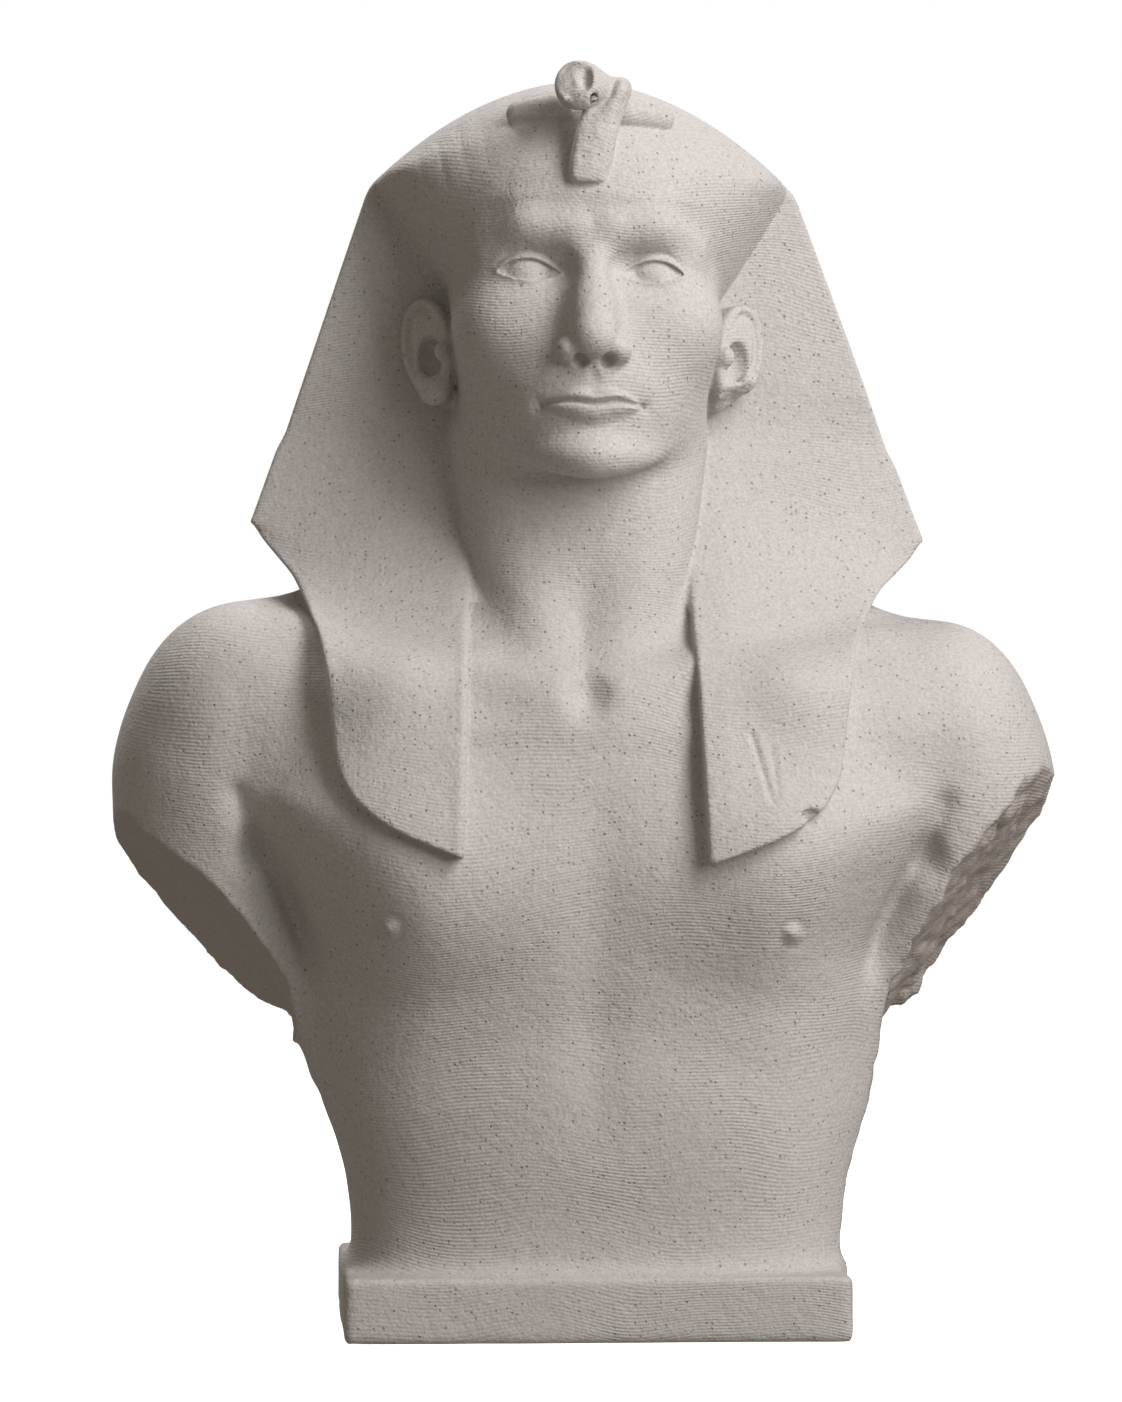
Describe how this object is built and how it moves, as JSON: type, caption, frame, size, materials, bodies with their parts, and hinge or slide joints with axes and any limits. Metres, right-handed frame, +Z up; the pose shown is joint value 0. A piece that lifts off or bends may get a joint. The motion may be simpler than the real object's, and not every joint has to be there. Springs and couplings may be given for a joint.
{
  "type": "pharaoh bust",
  "caption": "Life-size stone bust of a pharaoh in a royal headcloth with a broken cobra, bare chest, arms broken off, on a low flat plinth",
  "frame": {"origin": "middle of the plinth's flat underside", "axes": "+Z up; the figure faces -Y; +X is the figure's own left, the viewer's right"},
  "size_m": [0.4931, 0.2463, 0.6499],
  "materials": {
    "stone": "matt, fine tool lines, small dark specks"
  },
  "bodies": {
    "root": {"pharaoh_bust": "stone"}
  },
  "joints": []
}
